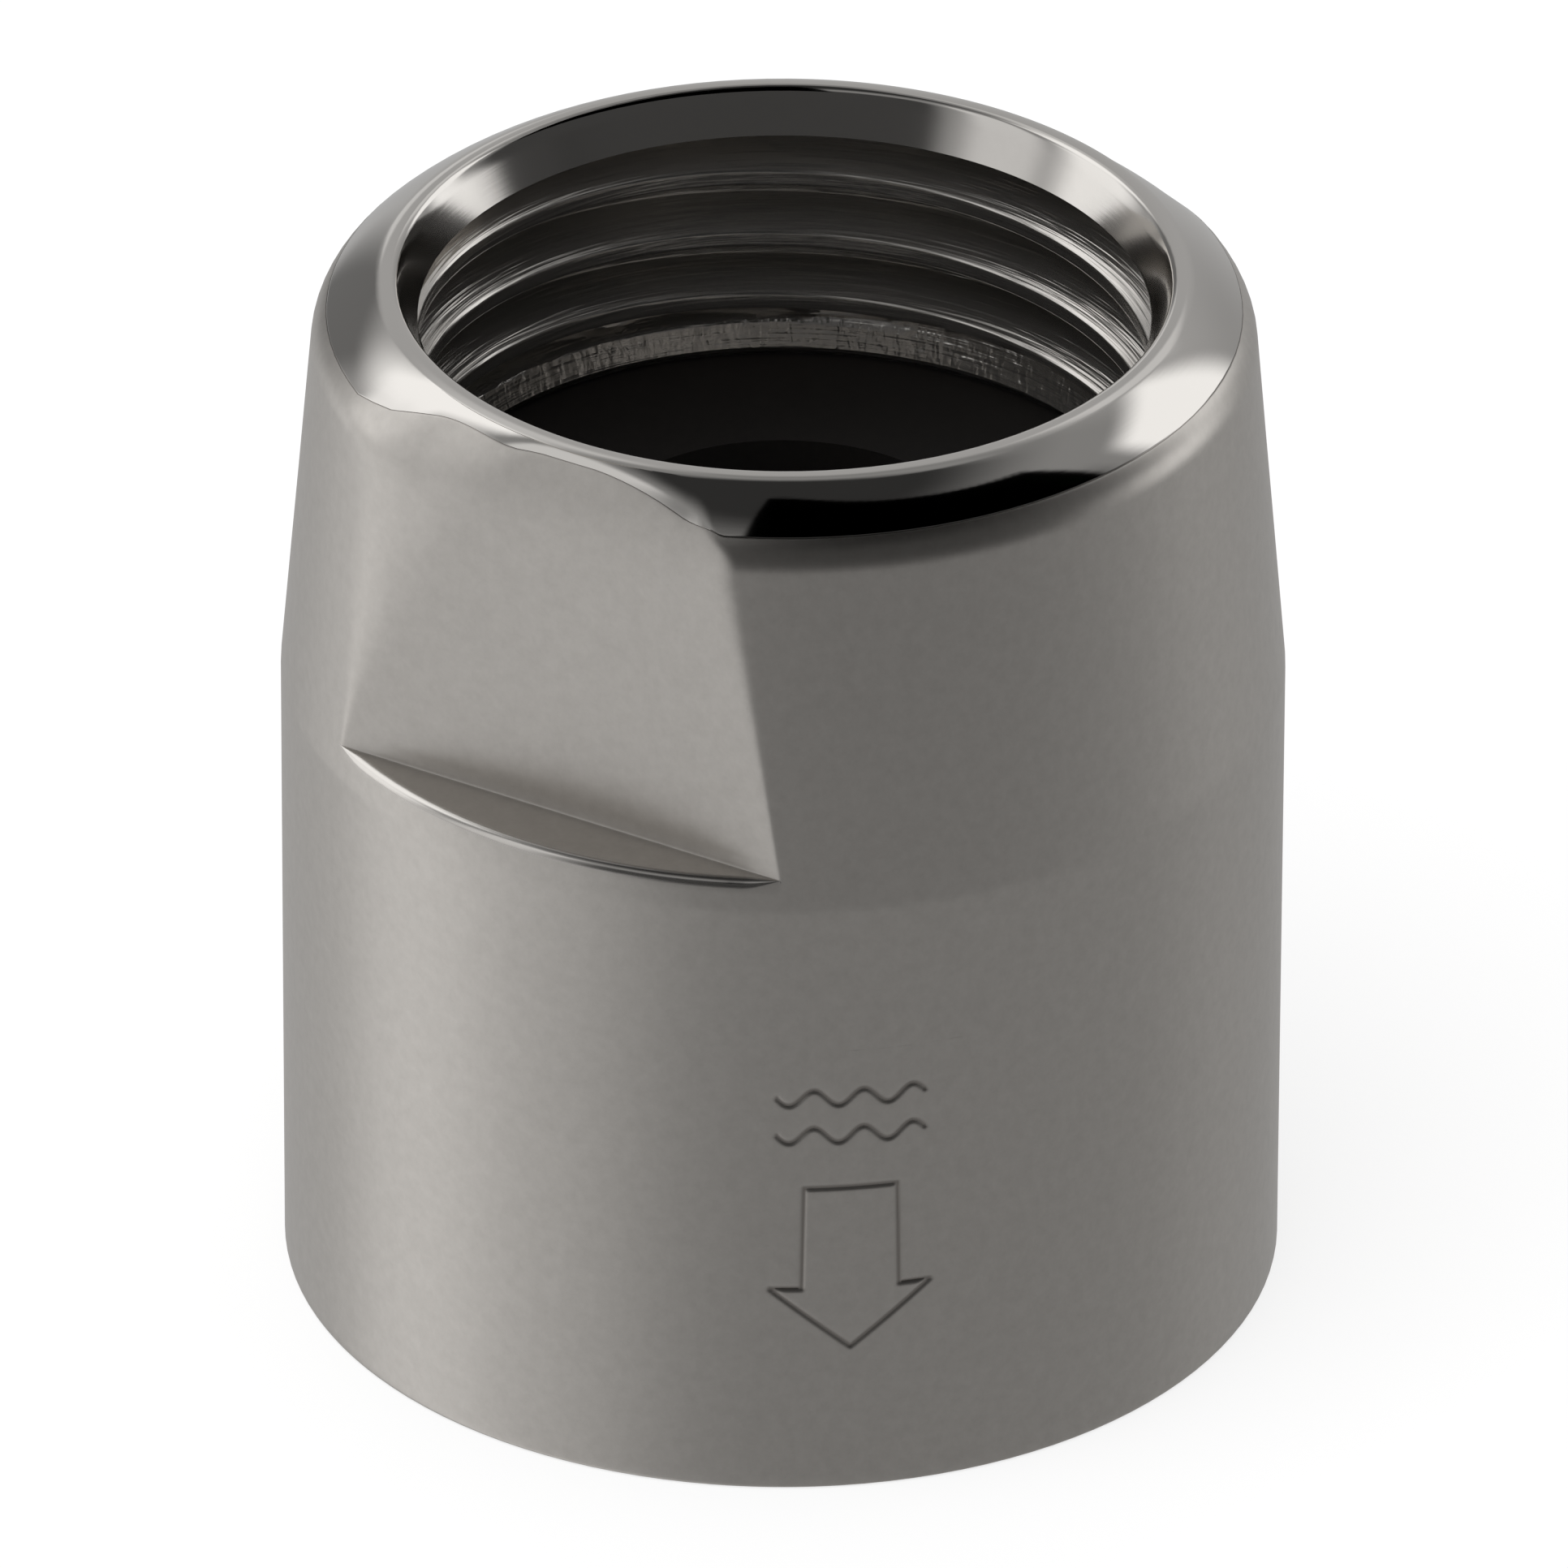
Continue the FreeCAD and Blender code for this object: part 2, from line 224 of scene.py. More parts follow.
def outerRadius(z):
    # Turned outside of the shell up to the rim, before the wrench flats are milled
    taper = shell["radius"] - (z - shell["taperStart"]) * math.tan(math.radians(shell["taperAngle"]))
    side = smoothMin(np.full_like(z, shell["radius"]), taper, shell["taperSoft"])
    return np.where(z < shell["shoulder"][1], side, np.interp(z, shoulderArc[:, 1], shoulderArc[:, 0]))


def flatDistance(z):
    # Distance of the wrench flat from the axis: upright, then rolled in towards the rim
    drop = np.clip(z - shell["rollStart"], 0, shell["rollRadius"])
    inner = shell["flatDistance"] - shell["rollRadius"]
    return inner + np.sqrt(shell["rollRadius"] ** 2 - drop ** 2)


def edgeAngle(z):
    return np.arccos(np.clip(flatDistance(z) / outerRadius(z), -1, 1))


# Masks that the finish reads; creaseLine and engraved only paint a darker colour, as painted shade in
# the crease and in the engraved grooves
maskNames = ["polish", "creaseLine", "bore", "chatter", "engraved"]


def ringPoints(angles, radius, height, **masks):
    # One ring of the mesh: x, y, z and the masks that the finish reads
    angles = np.asarray(angles)
    columns = [radius * np.cos(angles), radius * np.sin(angles), height]
    columns += [masks.get(name, 0.0) for name in maskNames]
    return np.stack([np.broadcast_to(column, angles.shape) for column in columns], 1)


def threadRise(angle, z, ridge):
    # Depth cut outwards by an internal pipe thread whose ridge passes a given angle and height
    along = (z - ridge[1]) / thread["pitch"] - (np.degrees(angle) - ridge[0]) / 360
    fromRidge = np.abs(along - np.round(along)) * thread["pitch"]
    slope = 1 / math.tan(thread["flank"])
    soft = thread["cornerSoft"] * slope
    rise = (fromRidge - thread["crestHalf"]) * slope
    rise = -smoothMin(-rise, np.zeros_like(rise), soft)
    return smoothMin(rise, np.full_like(rise, thread["depth"]), soft)


def inletRadius(angle, z):
    # Inlet thread, with a short cone where it runs out above the washer pocket
    low, high = shell["pocket"][1], thread["inletFade"][1]
    rise = threadRise(angle, z, thread["inletRidge"]) * smoothStep(*thread["inletFade"], z)
    fade = smoothStep(high, high + thread["fadeBlend"], z)
    runOut = np.clip((z - low) / (high - low), 0, 1) * (1 - fade)
    return shell["boreRadius"] + np.maximum(rise, shell["runOutRise"] * runOut)


# Mesh lines of a thread by distance from the ridge's middle, closer together at its corners
fromCrest = np.array([0, 0.1, 0.165, 0.2, 0.235, 0.3, 0.42, 0.56, 0.68, 0.755, 0.805, 0.85])


def threadGrid(around, low, high, ridge, radiusAt, masksAt):
    # Rows of the mesh that climb with the helix and are cut off level at both ends
    pitch = thread["pitch"]
    stations = np.concatenate([fromCrest, [pitch / 2], pitch - fromCrest[:0:-1]])
    climb = (around - around[0]) / (2 * math.pi) * pitch
    ridgeStart = ridge[1] + pitch * (math.degrees(around[0]) - ridge[0]) / 360
    turn = math.ceil((high - ridgeStart) / pitch)
    grid = []
    while ridgeStart + turn * pitch > low - 2 * pitch:
        for station in stations:
            heights = np.clip(ridgeStart + turn * pitch - station + climb, low, high)
            grid.append(ringPoints(around, radiusAt(around, heights), heights, **masksAt(heights)))
        turn -= 1
    return grid


# Marks engraved in the wall: (arc length from the mark's axis, height) in millimetres
arrowMark = {
    "angle": 38.75,
    "outline": [(-1.2, 8.98), (1.2, 8.98), (1.25, 6.0), (2.07, 6.0), (0, 4.24),
                (-2.07, 6.0), (-1.25, 6.0), (-1.2, 8.98)],
    "waveHeights": (10.55, 11.65),
    "waveHalfLength": 1.9,
    "waveSwing": 0.22,
    "waveLength": 1.27,
    "wavePoints": 49,
}
engraving = {
    "depth": 0.045,
    "width": 0.065,
    "cell": 0.05,
    "low": 3.4,  # the finely meshed patch: from, to, and to each side of the mark's axis
    "high": 13.0,
    "halfWidth": 3.0,
}


def markStrokes():
    strokes = [np.array(arrowMark["outline"])]
    for height in arrowMark["waveHeights"]:
        reach = arrowMark["waveHalfLength"]
        along = np.linspace(-reach, reach, arrowMark["wavePoints"])
        swing = arrowMark["waveSwing"] * np.sin(2 * np.pi * along / arrowMark["waveLength"])
        strokes.append(np.stack([along, height + swing], 1))
    return strokes


def strokeShare(across, height, strokes):
    # How much of the engraving's depth is reached at points of the wall
    nearest = np.full(across.shape, np.inf)
    for stroke in strokes:
        for (a0, z0), (a1, z1) in zip(stroke[:-1], stroke[1:]):
            da, dz = a1 - a0, z1 - z0
            t = np.clip(((across - a0) * da + (height - z0) * dz) / (da * da + dz * dz), 0, 1)
            gap = np.hypot(across - a0 - t * da, height - z0 - t * dz)
            nearest = np.minimum(nearest, gap)
    return np.exp(-(nearest / engraving["width"]) ** 2)


# Rows of the shell's mesh, from the foot up and over the rim: how many go round a curve or up
# a wall, or their heights or shares where they stand closer together
rowPlan = {
    "foot": 5,
    "aboveFoot": 0.35,
    "taperStart": (16.6, 16.9, 17.05, 17.15, 17.3, 17.6),
    "ledge": 8,
    "aboveLedge": 0.08,
    "flatFrom": 0.4,
    "flat": 20,
    "rollFrom": 0.15,
    "roll": 3,
    "shoulder": 14,
    "belowCrease": (0.04, 0.02, 0.0),
    "aboveCrease": (0.015, 0.03, 0.06),
    "faceFrom": 0.1,
    "face": 30,
    "lip": 26,
    "lipEdge": 6,
    "lipWall": (0.25, 0.5, 0.75, 0.93, 1.0),
}
lowRow = rowPlan["foot"] + 1  # row on which the engraved patch stands

# Columns of the shell's mesh: shares of the flat's half angle inside its side edges, and
# shares of what is left to 90 degrees outside them
edgeSteps = np.array([0, 0.04, 0.1, 0.18, 0.3, 0.45, 0.65, 0.9, 1.2, 1.6])
halfFlatLength = 6.5
sideLength = 13.26
insideShares = np.concatenate([
    1 - edgeSteps / halfFlatLength,
    np.linspace(1 - edgeSteps[-1] / halfFlatLength, 0, 9)[1:],
])
outsideShares = np.concatenate([
    edgeSteps[1:] / sideLength,
    np.linspace(edgeSteps[-1] / sideLength, 1, 19)[1:],
])


def columnOffsets(half):
    # Angles from the flat's middle, -90 degrees up to just under 90 degrees
    inside = half * insideShares
    outside = half + (math.pi / 2 - half) * outsideShares
    right = np.concatenate([inside[::-1], outside])
    return np.concatenate([-right[::-1][:-1], right[:-1]])


def columnAngles(half):
    offsets = columnOffsets(half)
    return offsets, np.concatenate([offsets - math.pi / 2, offsets + math.pi / 2])


def edgeSoftness(offsets, height):
    # The flats' side edges are nearly sharp at the ledge and rounded over near the rim
    blend, rimEnd = shell["rollBlend"], shell["crease"][1] + shell["rimBlend"]
    share = smoothStep(shell["ledgeHeight"], shell["rollStart"] + blend, height)
    soft = [low + (high - low) * share for low, high in (shell["leftEdgeSoft"], shell["rightEdgeSoft"])]
    nearRim = shell["topEdgeSoft"] * smoothStep(shell["rollStart"] - blend, rimEnd, height)
    leftShare = 1 - smoothStep(*shell["softTurn"], offsets)
    return soft[1] + (soft[0] + nearRim - soft[1]) * leftShare


def milledRadius(offsets, height):
    flat = flatDistance(height) / np.maximum(np.cos(offsets), hair)
    return smoothMin(outerRadius(height), flat, edgeSoftness(offsets, height))


# The rim's face carried on, so that heights off its ends aren't held at its end radius
faceReach = extended(faceArc, 3.0)


creaseSearch = {"below": 0.3, "underLip": 0.02, "steps": 500}


def creaseHeights(offsets):
    # Where the milled outside meets the turned face of the rim, for each column
    dense = np.linspace(shell["crease"][1] - creaseSearch["below"],
                        lipStart[1] - creaseSearch["underLip"], creaseSearch["steps"])
    face = np.interp(dense, faceReach[:, 1], faceReach[:, 0])
    return np.array([np.interp(0, milledRadius(np.full(dense.shape, offset), dense) - face, dense)
                     for offset in offsets])


def rimRadius(offsets, height, share):
    # Milled outside and rim face with the edge between them polished over on the flats
    face = np.interp(height, faceReach[:, 1], faceReach[:, 0])
    soft = shell["creaseSoft"] + shell["faceSoft"] * share
    return smoothMin(milledRadius(offsets, height), face, soft)


def shellRows():
    # Rings of points from the foot, up the outside, over the rim and down to the thread
    rows = []

    def addRow(half, radius, height, **masks):
        offsets, angles = columnAngles(half)
        radius = np.tile(np.broadcast_to(radius, offsets.shape), 2)
        height = np.tile(np.broadcast_to(height, offsets.shape), 2)
        rows.append(ringPoints(angles, radius, height, **masks))

    ledge = np.array(shell["ledgeHeight"])
    half = float(edgeAngle(ledge))
    offsets = columnOffsets(half)

    # Foot and lower wall
    footCentre = shell["radius"] - shell["bottomRound"]
    for turn in np.linspace(0, math.pi / 2, rowPlan["foot"]):
        addRow(half, footCentre + shell["bottomRound"] * math.sin(turn),
               shell["bottomRound"] * (1 - math.cos(turn)))
    wallRows = (rowPlan["aboveFoot"], engraving["low"], engraving["high"], *rowPlan["taperStart"])
    for height in wallRows:
        addRow(half, float(outerRadius(np.array(height))), height)

    # Ledge, with its outer edge rounded and a small fillet at the flat's foot. Columns
    # that have no ledge spread the same rows up the plain wall
    wall = float(outerRadius(ledge))
    width = wall - milledRadius(offsets, ledge)
    hasLedge = width > shell["leastLedge"]
    foot = np.where(hasLedge, wall - width, wall)
    mostRound = np.minimum(shell["ledgeRound"], shell["ledgeRoundShare"] * width)
    rounding = np.where(hasLedge, mostRound, shell["ledgeRound"])
    for turn in np.linspace(0, math.pi / 2, rowPlan["ledge"]):
        height = ledge - rounding * (1 - math.sin(turn))
        rubbed = np.tile(hasLedge * shine["ledge"] * math.sin(2 * turn), 2)
        radius = outerRadius(height) - rounding * (1 - math.cos(turn)) * hasLedge
        addRow(half, radius, height, polish=rubbed)
    fillet = np.minimum(shell["footFillet"], shell["footFilletShare"] * width)
    for inward, climb in ((1.0, 0.0), (0.3, 0.3)):
        height = ledge + np.where(hasLedge, fillet * climb, 0.02 + 0.1 * climb)
        addRow(half, np.where(hasLedge, foot + fillet * inward, outerRadius(height)), height)

    # Flats and taper up to the crease between brushed and polished metal
    creaseHeight, shoulderHeight = shell["crease"][1], shell["shoulder"][1]
    ledgeHeight, rollStart = shell["ledgeHeight"], shell["rollStart"]
    rowHeights = np.concatenate([
        [ledgeHeight + rowPlan["aboveLedge"]],
        np.linspace(ledgeHeight + rowPlan["flatFrom"], rollStart, rowPlan["flat"]),
        np.linspace(rollStart + rowPlan["rollFrom"], shoulderHeight, rowPlan["roll"]),
        np.linspace(shoulderHeight, creaseHeight, rowPlan["shoulder"])[1:-1],
        creaseHeight - np.array(rowPlan["belowCrease"]),
    ])
    rimHalf = float(edgeAngle(np.array(creaseHeight)))
    rimOffsets = columnOffsets(rimHalf)
    crossing = creaseHeights(rimOffsets)
    onFlat = smoothStep(*shell["polishBlend"], crossing - creaseHeight)
    creaseAt = crossing - shell["polishOver"] * onFlat
    stretch = (creaseAt - rollStart) / (creaseHeight - rollStart)
    for rowHeight in rowHeights:
        half = float(edgeAngle(np.array(rowHeight)))
        stretched = rollStart + (rowHeight - rollStart) * stretch
        height = np.where(rowHeight > rollStart, stretched, rowHeight)
        radius = rimRadius(columnOffsets(half), height, onFlat)
        # The crease row is cut in as a small groove, and its creaseLine mask paints a dark line along it
        # as painted shade
        atLine = float(rowHeight == creaseHeight)
        radius = radius - shell["creaseGroove"] * atLine
        addRow(half, radius, height, polish=shine["creaseLine"] * atLine, creaseLine=atLine)

    # Polished face of the rim, from the crease to the rolled lip
    length = np.concatenate([[0], np.cumsum(np.hypot(*np.diff(faceReach, axis=0).T))])
    lengthAt = np.interp(creaseAt, faceReach[:, 1], length)
    lengthEnd = length[-2]
    evenShares = np.linspace(rowPlan["faceFrom"], 1, rowPlan["face"])
    for share in np.concatenate([rowPlan["aboveCrease"], evenShares]):
        height = np.interp(lengthAt + (lengthEnd - lengthAt) * share, length, faceReach[:, 1])
        addRow(rimHalf, rimRadius(rimOffsets, height, onFlat), height, polish=shine["rim"])

    # Rolled lip, its inner wall and the edge that overhangs the first thread groove
    first, last = shell["lipTurns"]
    for turn in np.linspace(first, last, rowPlan["lip"])[1:]:
        radius, height = lipPoint(turn, shell["lipRadius"], shell["rollCentre"])
        addRow(rimHalf, radius, height, polish=shine["rim"])
    blendCentre = lipPoint(last, shell["lipRadius"] - shell["blendRadius"], shell["rollCentre"])
    for turn in np.linspace(last, shell["blendEnd"], rowPlan["lipEdge"])[1:]:
        radius, height = lipPoint(turn, shell["blendRadius"], blendCentre)
        addRow(rimHalf, radius, height, polish=shine["lipEdge"])
    wallTop = lipPoint(shell["blendEnd"], shell["blendRadius"], blendCentre)
    for share in rowPlan["lipWall"]:
        radius = wallTop[0] + (shell["boreRadius"] - wallTop[0]) * share
        height = wallTop[1] + (shell["lipEnd"] - wallTop[1]) * share
        addRow(rimHalf, radius, height, polish=shine["lipWall"])
    return rows, rimHalf


def ringFaces(rowCount, columnCount, skip=None):
    faces = []
    for row in range(rowCount - 1):
        for column in range(columnCount):
            if skip and skip(row, column):
                continue
            after = (column + 1) % columnCount
            faces.append((row * columnCount + column, row * columnCount + after,
                          (row + 1) * columnCount + after, (row + 1) * columnCount + column))
    return faces


def sheetFaces(start, rowCount, columnCount):
    # Cells of a sheet that isn't joined round, whose points begin at start
    return [(here, here + 1, here + columnCount + 1, here + columnCount)
            for row in range(rowCount - 1)
            for here in range(start + row * columnCount, start + (row + 1) * columnCount - 1)]


def engravedWall(columns, angles, strokes, axisAngle):
    # Fine patch of the wall between two rows and a run of columns, with its engraving
    fineAngles = []
    for column in columns:
        first, last = angles[column], angles[column + 1]
        count = max(1, math.ceil((last - first) * shell["radius"] / engraving["cell"]))
        fineAngles.extend(np.linspace(first, last, count, endpoint=False))
    fineAngles.append(angles[columns[-1] + 1])
    fineAngles = np.array(fineAngles)
    rowCount = math.ceil((engraving["high"] - engraving["low"]) / engraving["cell"])
    heights = np.linspace(engraving["low"], engraving["high"], rowCount + 1)
    angle, height = np.meshgrid(fineAngles, heights)
    share = strokeShare((angle - axisAngle) * shell["radius"], height, strokes)
    radius = shell["radius"] - engraving["depth"] * share
    # The depth share is also the engraved mask, with which the finish paints the grooves darker as
    # painted shade
    patch = ringPoints(angle.ravel(), radius.ravel(), height.ravel(), engraved=share.ravel())
    return patch.reshape(angle.shape + (-1,))


def buildShell():
    rows, rimHalf = shellRows()
    columnCount = len(rows[0])
    points = [np.concatenate(rows)]
    footHalf = float(edgeAngle(np.array(shell["ledgeHeight"])))
    offsets, angles = columnAngles(footHalf)
    axisAngle = math.radians(arrowMark["angle"] - 90)
    reach = engraving["halfWidth"] / shell["radius"]
    columns = [c for c in range(len(offsets) - 1)
               if axisAngle - reach < angles[c + 1] and angles[c] < axisAngle + reach]
    faces = ringFaces(len(rows), columnCount,
                      lambda row, column: row == lowRow and column in columns)

    # Engraved patch, and the wall's cells around it joined to its fine border
    patch = engravedWall(columns, angles, markStrokes(), axisAngle)
    patchRows, patchColumns = patch.shape[:2]
    start = sum(len(p) for p in points)
    points.append(patch.reshape(-1, patch.shape[2]))
    faces += sheetFaces(start, patchRows, patchColumns)
    fine = start + np.arange(patchRows * patchColumns).reshape(patchRows, patchColumns)
    first, last = columns[0], columns[-1] + 1

    def corner(row, column):
        return row * columnCount + column

    def cell(row, column):
        # One cell of the wall, as ringFaces gives it
        return (corner(row, column), corner(row, column + 1),
                corner(row + 1, column + 1), corner(row + 1, column))

    leftBorder = [int(v) for v in fine[:, 0]]
    rightBorder = [int(v) for v in fine[:, -1]]
    beside = (cell(lowRow, first - 1), cell(lowRow, last))
    faces = [face for face in faces if face not in beside]
    faces.append([corner(lowRow, first - 1)] + leftBorder + [corner(lowRow + 1, first - 1)])
    faces.append([corner(lowRow, last + 1), corner(lowRow + 1, last + 1)] + rightBorder[::-1])
    patchAngles = np.arctan2(patch[0, :, 1], patch[0, :, 0])
    for column in columns:
        inside = [i for i, a in enumerate(patchAngles)
                  if angles[column] - hair < a < angles[column + 1] + hair]
        for row, border, beyond in ((lowRow, 0, lowRow - 1), (lowRow + 1, patchRows - 1, lowRow + 2)):
            faces.remove(cell(min(row, beyond), column))
            line = [int(fine[border, i]) for i in inside]
            if beyond < row:
                faces.append([corner(beyond, column), corner(beyond, column + 1)] + line[::-1])
            else:
                faces.append(line + [corner(beyond, column + 1), corner(beyond, column)])

    # Thread, on rows that climb with the helix and are cut off level at both ends
    _, rimAngles = columnAngles(rimHalf)
    around = np.append(rimAngles, rimAngles[0] + 2 * math.pi)
    bottom = shell["pocket"][1]
    start = sum(len(p) for p in points)

    def threadMasks(z):
        chatter = 1 - smoothStep(*thread["inletFade"], z)
        return {"polish": shine["bore"], "bore": 1.0, "chatter": chatter}

    grid = threadGrid(around, bottom, thread["inletTop"], thread["inletRidge"], inletRadius, threadMasks)
    points.append(np.concatenate(grid))
    faces += sheetFaces(start, len(grid), len(around))
    lastRow = (len(rows) - 1) * columnCount
    for column in range(columnCount):
        after = (column + 1) % columnCount
        faces.append((lastRow + column, lastRow + after, start + column + 1, start + column))

    # Washer pocket, shelf and cavity below the thread
    start = sum(len(p) for p in points)
    chamfer = shell["cavityChamfer"]
    bore = [
        (shell["boreRadius"], bottom), (shell["pocket"][0], bottom),
        (shell["pocket"][0], shell["seatHeight"]), (shell["holeRadius"], shell["seatHeight"]),
        (shell["holeRadius"], shell["shelfBottom"]), (shell["cavityRadius"], shell["shelfBottom"]),
        (shell["cavityRadius"], chamfer), (shell["cavityRadius"] + chamfer, 0)]
    rings = [ringPoints(rimAngles, *place, polish=shine["bore"], bore=1.0) for place in bore[:-1]]
    # The last ring meets the foot, whose columns stand at slightly other angles
    rings.append(ringPoints(angles, *bore[-1], polish=shine["bore"]))
    points.append(np.concatenate(rings))
    for face in ringFaces(len(rings), columnCount):
        faces.append(tuple(start + v for v in face))
    lastRing = start + (len(rings) - 1) * columnCount
    for column in range(columnCount):
        after = (column + 1) % columnCount
        faces.append((lastRing + column, lastRing + after, after, column))

    points = np.concatenate(points)
    piece = meshPiece("shell_turned", points[:, :3], faces)
    for index, name in enumerate(maskNames):
        attribute = piece.data.attributes.new(name, "FLOAT", "POINT")
        attribute.data.foreach_set("value", points[:, 3 + index].astype(np.float32))
    healMesh(piece)
    return piece


outlet = {
    "mouthRadius": 10.5275,
    "mouthHeight": 0.4,
    "threadEnd": 6.2,
    "columns": 96,
    "margin": 0.02,
    "heightSlack": 0.003,
    "wallSlack": 0.02,
    "steepest": 0.9,  # faces whose normal stands more upright than this aren't the bore's
}


def outletRadius(angle, z):
    # Outlet thread, opened by the mouth's chamfer and running out below the washer pocket
    fade = 1 - smoothStep(*thread["outletFade"], z)
    cut = shell["boreRadius"] + threadRise(angle, z, thread["outletRidge"]) * fade
    return np.maximum(cut, outlet["mouthRadius"] - (z - outlet["mouthHeight"]))


def buildOutletSocket():
    # The socket's solid with its plain bore and mouth chamfer cut out and a thread put in
    node = frame["nodes"]["outlet_socket"]
    shape = bmesh.new()
    shape.from_mesh(node.data)
    shape.transform(node.matrix_world)
    mergeClose(shape)
    low, high, slack = outlet["mouthHeight"], outlet["threadEnd"], outlet["heightSlack"]

    def inBore(vertex):
        radius, height = math.hypot(vertex.co.x, vertex.co.y) / mm, vertex.co.z / mm
        edge = max(shell["boreRadius"], outlet["mouthRadius"] - (height - low))
        return low - slack < height < high + slack and abs(radius - edge) < outlet["wallSlack"]

    wall = [face for face in shape.faces
            if all(inBore(v) for v in face.verts) and abs(face.normal.z) < outlet["steepest"]]
    bmesh.ops.delete(shape, geom=wall, context="FACES")
    around = np.linspace(0, 2 * math.pi, outlet["columns"] + 1)
    grid = threadGrid(around, low + outlet["margin"], high - outlet["margin"], thread["outletRidge"],
                      outletRadius, lambda z: {})
    lines = [[shape.verts.new(Vector(point[:3]) * mm) for point in row] for row in grid]
    for upper, lower in zip(lines[:-1], lines[1:]):
        for column in range(outlet["columns"]):
            shape.faces.new((upper[column], upper[column + 1], lower[column + 1], lower[column]))
    mergeAndClean(shape)
    border = [edge for edge in shape.edges if edge.is_boundary]
    middle = (low + high) / 2 * mm
    for above in (False, True):
        part = [edge for edge in border if (edge.verts[0].co.z > middle) == above]
        bmesh.ops.bridge_loops(shape, edges=part)
    mesh = bpy.data.meshes.new("outlet_socket_threaded")
    shape.to_mesh(mesh)
    shape.free()
    piece = addObject("outlet_socket_threaded", mesh)
    healMesh(piece)
    return piece


springs = {
    "check_spring": {"Coil Radius": 2.75, "Wire Radius": 0.175, "Bottom": 10.2, "Top": 14.15,
                     "Turns": 4.5, "Closed Turns": 0.75, "Closed Gap": 0.06},
    "vent_spring": {"Coil Radius": 7.6, "Wire Radius": 0.15, "Bottom": 12.1, "Top": 14.05,
                    "Turns": 2.5, "Closed Turns": 0.5, "Closed Gap": 0.06},
}
springMesh = {"sectionsPerTurn": 40.0, "wireSides": 12, "sharpDegrees": 60}
springMoves = {"check_spring": ("check_slide", 0.549), "vent_spring": ("vent_slide", 0.6)}


def springNodes():
    # Wire swept along a helix that closes up at both ends, all sizes from named inputs
    tree = bpy.data.node_groups.new("closedEndSpring", "GeometryNodeTree")
    for name in springs["check_spring"]:
        tree.interface.new_socket(name, in_out="INPUT", socket_type="NodeSocketFloat")
    tree.interface.new_socket("Wire", in_out="INPUT", socket_type="NodeSocketMaterial")
    tree.interface.new_socket("Spring", in_out="OUTPUT", socket_type="NodeSocketGeometry")
    given = addNode(tree, "NodeGroupInput")

    # Each sum is one node, and may use the inputs and the sums above it
    sums = {
        "coil": ("MULTIPLY", "Coil Radius", mm),
        "wire": ("MULTIPLY", "Wire Radius", mm),
        "bottom": ("MULTIPLY", "Bottom", mm),
        "top": ("MULTIPLY", "Top", mm),
        "gap": ("MULTIPLY", "Closed Gap", mm),
        "closedPitch": ("MULTIPLY_ADD", "wire", 2.0, "gap"),
        "length": ("SUBTRACT", "top", "bottom"),
        "rise": ("MULTIPLY_ADD", "wire", -2.0, "length"),
        "bothClosed": ("MULTIPLY", "Closed Turns", 2.0),
        "closedRise": ("MULTIPLY", "bothClosed", "closedPitch"),
        "openRise": ("SUBTRACT", "rise", "closedRise"),
        "openTurns": ("MULTIPLY_ADD", "Closed Turns", -2.0, "Turns"),
        "openPitch": ("DIVIDE", "openRise", "openTurns"),
        "turn": ("MULTIPLY", "Along", "Turns"),
        "fromEnd": ("SUBTRACT", "turn", "Turns"),
        "intoLast": ("ADD", "fromEnd", "Closed Turns"),
        "lastTurns": ("MAXIMUM", "intoLast", 0.0),
        "firstTurns": ("MINIMUM", "turn", "Closed Turns"),
        "closed": ("ADD", "firstTurns", "lastTurns"),
        "open": ("SUBTRACT", "turn", "closed"),
        "start": ("ADD", "bottom", "wire"),
        "closedHeight": ("MULTIPLY_ADD", "closed", "closedPitch", "start"),
        "height": ("MULTIPLY_ADD", "open", "openPitch", "closedHeight"),
        "angle": ("MULTIPLY", "turn", 2 * math.pi),
        "cosine": ("COSINE", "angle"),
        "sine": ("SINE", "angle"),
        "across": ("MULTIPLY", "cosine", "coil"),
        "aside": ("MULTIPLY", "sine", "coil"),
        "count": ("MULTIPLY", "Turns", springMesh["sectionsPerTurn"]),
    }
    known = {name: given.outputs[name] for name in springs["check_spring"]}
    known["Along"] = addNode(tree, "GeometryNodeSplineParameter").outputs["Factor"]
    for name, (operation, *terms) in sums.items():
        inputs = {index: known.get(term, term) for index, term in enumerate(terms)}
        known[name] = addNode(tree, "ShaderNodeMath", inputs, operation=operation)
    place = addNode(tree, "ShaderNodeCombineXYZ", {
        "X": known["across"], "Y": known["aside"], "Z": known["height"]})

    line = addNode(tree, "GeometryNodeCurvePrimitiveLine")
    path = addNode(tree, "GeometryNodeResampleCurve", {
        "Curve": line, "Count": known["count"]})
    path = addNode(tree, "GeometryNodeSetPosition", {
        "Geometry": path, "Position": place})
    section = addNode(tree, "GeometryNodeCurvePrimitiveCircle", {
        "Resolution": springMesh["wireSides"], "Radius": known["wire"]})
    swept = addNode(tree, "GeometryNodeCurveToMesh", {
        "Curve": path, "Profile Curve": section, "Fill Caps": True})
    real = addNode(tree, "GeometryNodeRealizeInstances", {"Geometry": swept})
    dressed = addNode(tree, "GeometryNodeSetMaterial", {
        "Geometry": real, "Material": given.outputs["Wire"]})
    addNode(tree, "NodeGroupOutput", {"Spring": dressed})
    return tree


